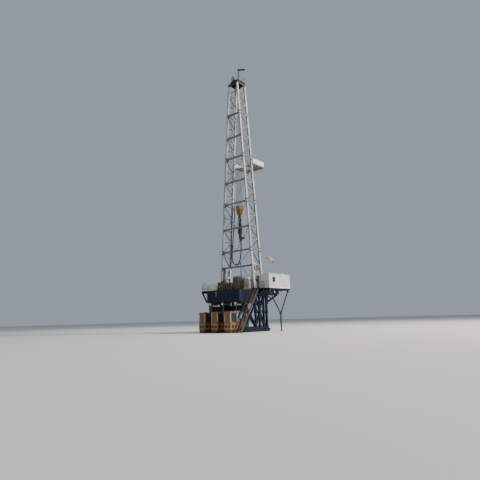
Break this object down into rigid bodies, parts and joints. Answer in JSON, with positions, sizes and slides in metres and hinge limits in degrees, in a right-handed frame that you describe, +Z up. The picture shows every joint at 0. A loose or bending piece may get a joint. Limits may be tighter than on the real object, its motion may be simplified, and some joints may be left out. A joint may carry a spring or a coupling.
{
  "type": "oil drilling rig, 1:10 scale model",
  "caption": "Land drilling rig on skids at a tenth of its size: open-front lattice mast with crown and travelling block, drill floor with doghouse and stair, hoist and engine sets.",
  "frame": {"origin": "middle of the base on the ground, under the box of the whole rig", "axes": "+Z up along the mast, +Y towards the hoist and engines, -X towards the doghouse"},
  "size_m": [1.137, 1.362, 5.3],
  "materials": {
    "navy_paint": "satin, weathered",
    "white_paint": "satin, weathered",
    "maroon_paint": "matt, faded",
    "cream_paint": "satin, worn",
    "yellow_paint": "satin, worn",
    "orange_paint": "satin, dusty",
    "grey_paint": "satin",
    "steel": "dull, greased",
    "silver_metal": "heat-proof silver paint",
    "doghouse_paint": "satin, ribbed sheet",
    "olive_paint": "matt, worn",
    "brown_deck": "matt, rusty underside",
    "glass": "dark, reflective",
    "hose_rubber": "matt",
    "wire_rope": "greased wire rope",
    "sock_cloth": "orange and white bands"
  },
  "bodies": {
    "rig": {"base_skids": "navy_paint", "side_frames": "navy_paint", "cross_frames": "navy_paint", "drill_floor": "navy_paint", "rear_platform": "navy_paint", "floor_knees": "navy_paint", "rotary_table": "steel", "drill_pipe": "steel", "drawworks_frame": "yellow_paint", "drawworks_drum": "steel", "drawworks_gearcase": "yellow_paint", "drawworks_cover": "grey_paint", "drawworks_motors": "orange_paint", "mast_side_left": "white_paint", "mast_side_right": "white_paint", "mast_back_bracing": "white_paint", "mast_shoes": "white_paint", "a_frames": "white_paint", "crown_frame": "maroon_paint", "crown_sheaves": "steel", "gin_pole": "maroon_paint", "monkey_board": "brown_deck", "monkey_wind_walls": "white_paint", "standpipe": "silver_metal", "rotary_hose": "hose_rubber", "drilling_lines": "wire_rope", "fast_line": "wire_rope", "doghouse_floor": "navy_paint", "doghouse_walls": "doghouse_paint", "doghouse_roof": "doghouse_paint", "doghouse_door": "doghouse_paint", "doghouse_glass": "glass", "doghouse_struts": "olive_paint", "stair_landing": "navy_paint", "stair": "yellow_paint", "handrails": "cream_paint", "engine_skids": "maroon_paint", "engines": "orange_paint", "radiators": "orange_paint", "mufflers": "silver_metal", "windsock_pole": "silver_metal", "lamp_post": "grey_paint"},
    "block": {"travelling_block": "yellow_paint", "block_sheaves": "yellow_paint", "hook": "yellow_paint", "swivel": "grey_paint"},
    "windsock": {"windsock_ring": "silver_metal", "windsock_sleeve": "sock_cloth"}
  },
  "joints": [
    {"name": "block_travel", "type": "slide", "parent": "rig", "child": "block", "axis": [0, 0, 1], "range_m": [-0.36, 1.8], "deforming": ["drilling_lines", "rotary_hose"]},
    {"name": "windsock_swing", "type": "hinge", "parent": "rig", "child": "windsock", "pos_m": [-0.4975, -0.056, 1.29], "axis": [0, 0, 1], "range_deg": [-180, 180]}
  ]
}
